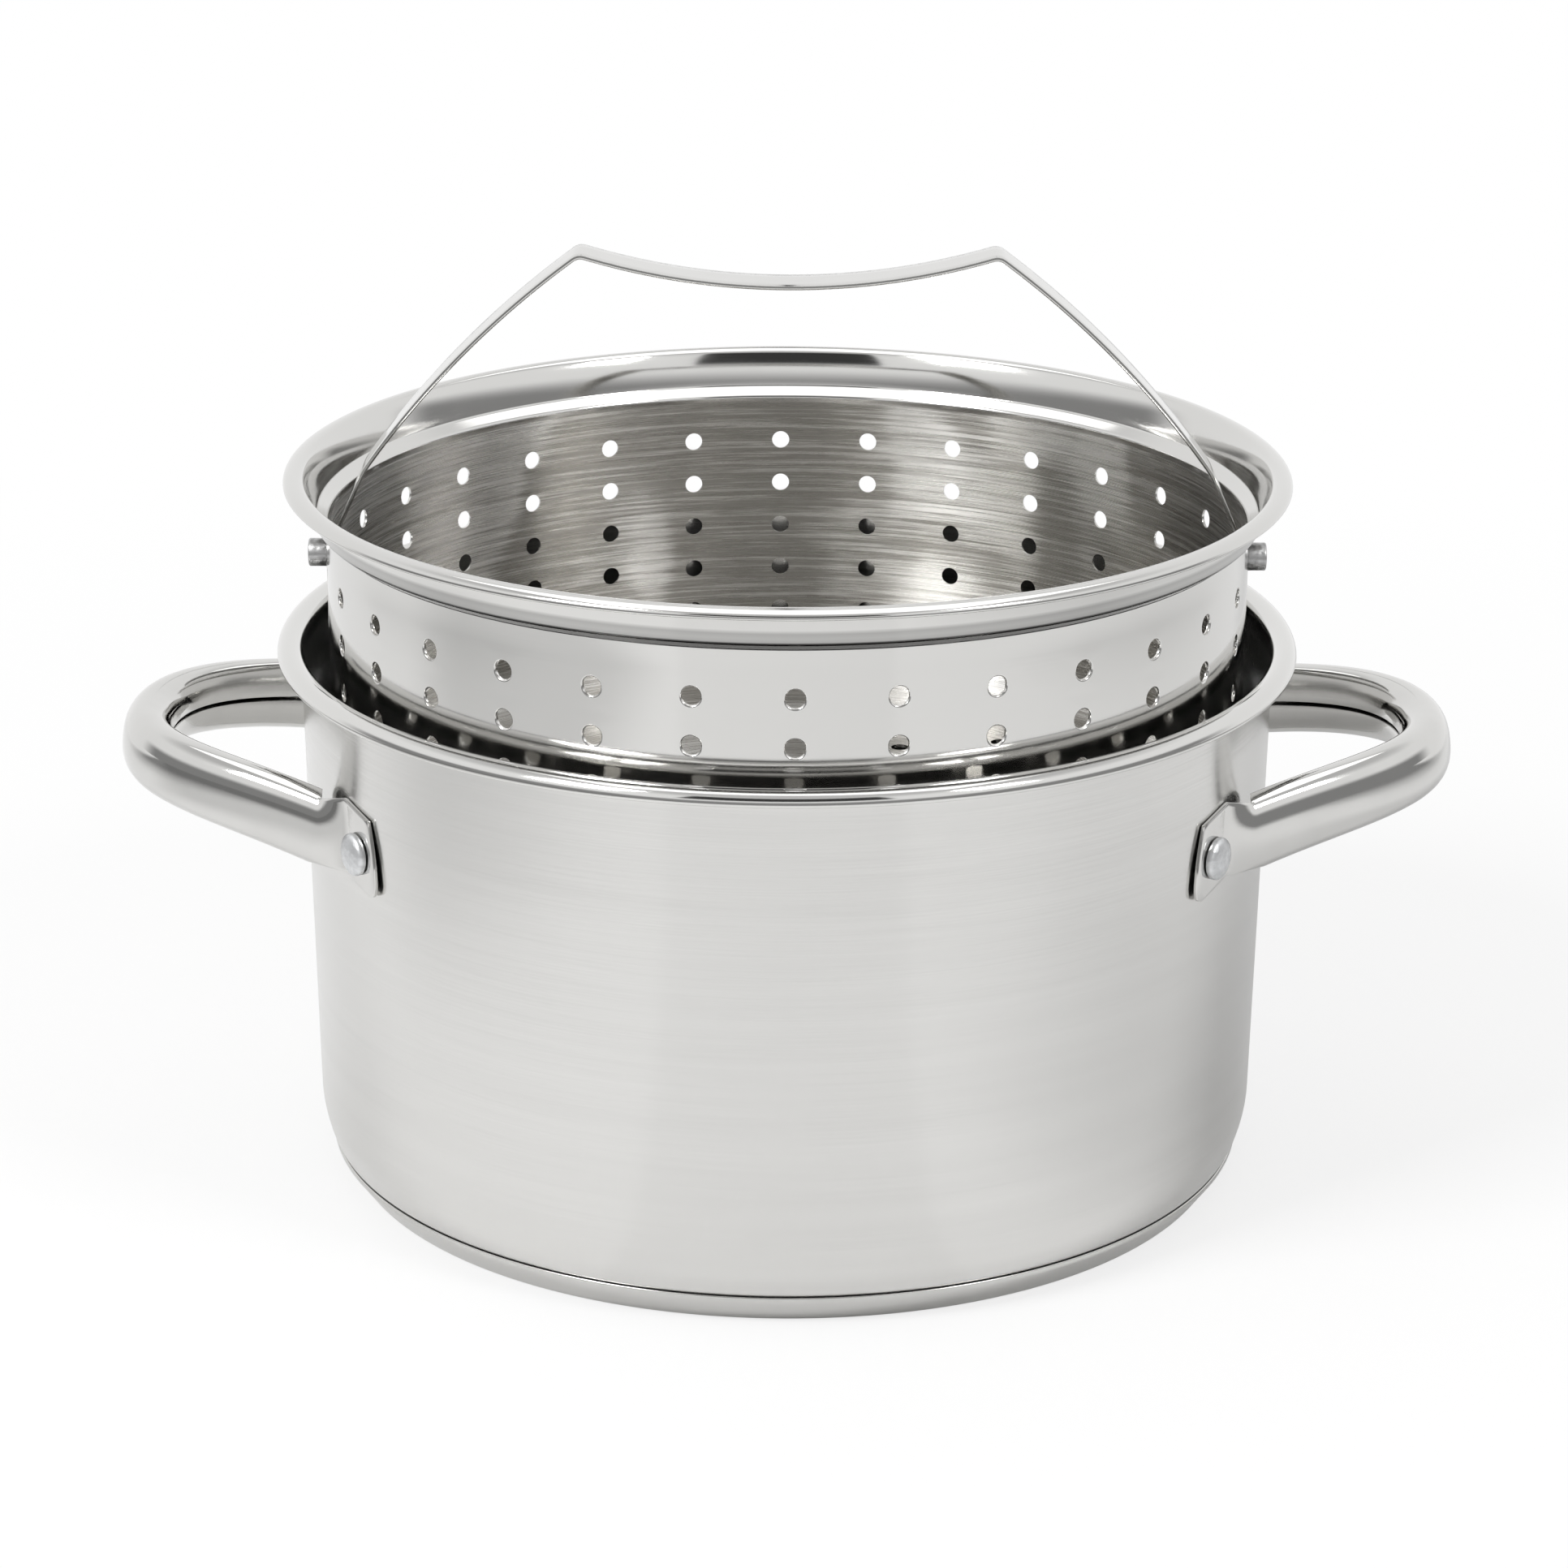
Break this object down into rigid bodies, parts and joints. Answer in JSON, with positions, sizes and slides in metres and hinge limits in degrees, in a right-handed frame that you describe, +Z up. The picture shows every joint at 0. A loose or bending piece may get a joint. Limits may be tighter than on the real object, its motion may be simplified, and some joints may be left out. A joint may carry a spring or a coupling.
{
  "type": "steamer pot",
  "caption": "Round steel pot with two loop handles and a lift-out perforated steamer basket with a folding bail.",
  "frame": {"origin": "centre of the underside of the base, on the pot's axis", "axes": "+Z up along the pot's axis, the loop handles point along +X and -X, the picture is taken from the -Y side"},
  "size_m": [0.3342, 0.254, 0.2334],
  "materials": {
    "pot_steel": "satin-polished stainless steel outside, brushed inside",
    "base_steel": "polished stainless steel",
    "core_aluminium": "plain aluminium disc, sealed in the base",
    "handle_steel": "mirror-polished stainless steel",
    "rivet_aluminium": "satin aluminium",
    "basket_steel": "polished stainless steel outside, brushed round the inside",
    "pivot_aluminium": "dull cast aluminium",
    "bail_steel": "polished stainless steel strip"
  },
  "bodies": {
    "pot": {"pot_body": "pot_steel", "base_cap": "base_steel", "base_core": "core_aluminium", "left_handle": "handle_steel", "right_handle": "handle_steel", "left_front_rivet": "rivet_aluminium", "left_rear_rivet": "rivet_aluminium", "right_front_rivet": "rivet_aluminium", "right_rear_rivet": "rivet_aluminium"},
    "basket": {"steamer_basket": "basket_steel", "left_pivot_rivet": "pivot_aluminium", "right_pivot_rivet": "pivot_aluminium"},
    "bail": {"bail": "bail_steel"}
  },
  "joints": [
    {"name": "basket_lift", "type": "slide", "parent": "pot", "child": "basket", "axis": [0, 0, 1], "range_m": [-0.0395, 0.1]},
    {"name": "bail_swing", "type": "hinge", "parent": "basket", "child": "bail", "pos_m": [0, 0, 0.1565], "axis": [1, 0, 0], "range_deg": [-144, 144]}
  ]
}
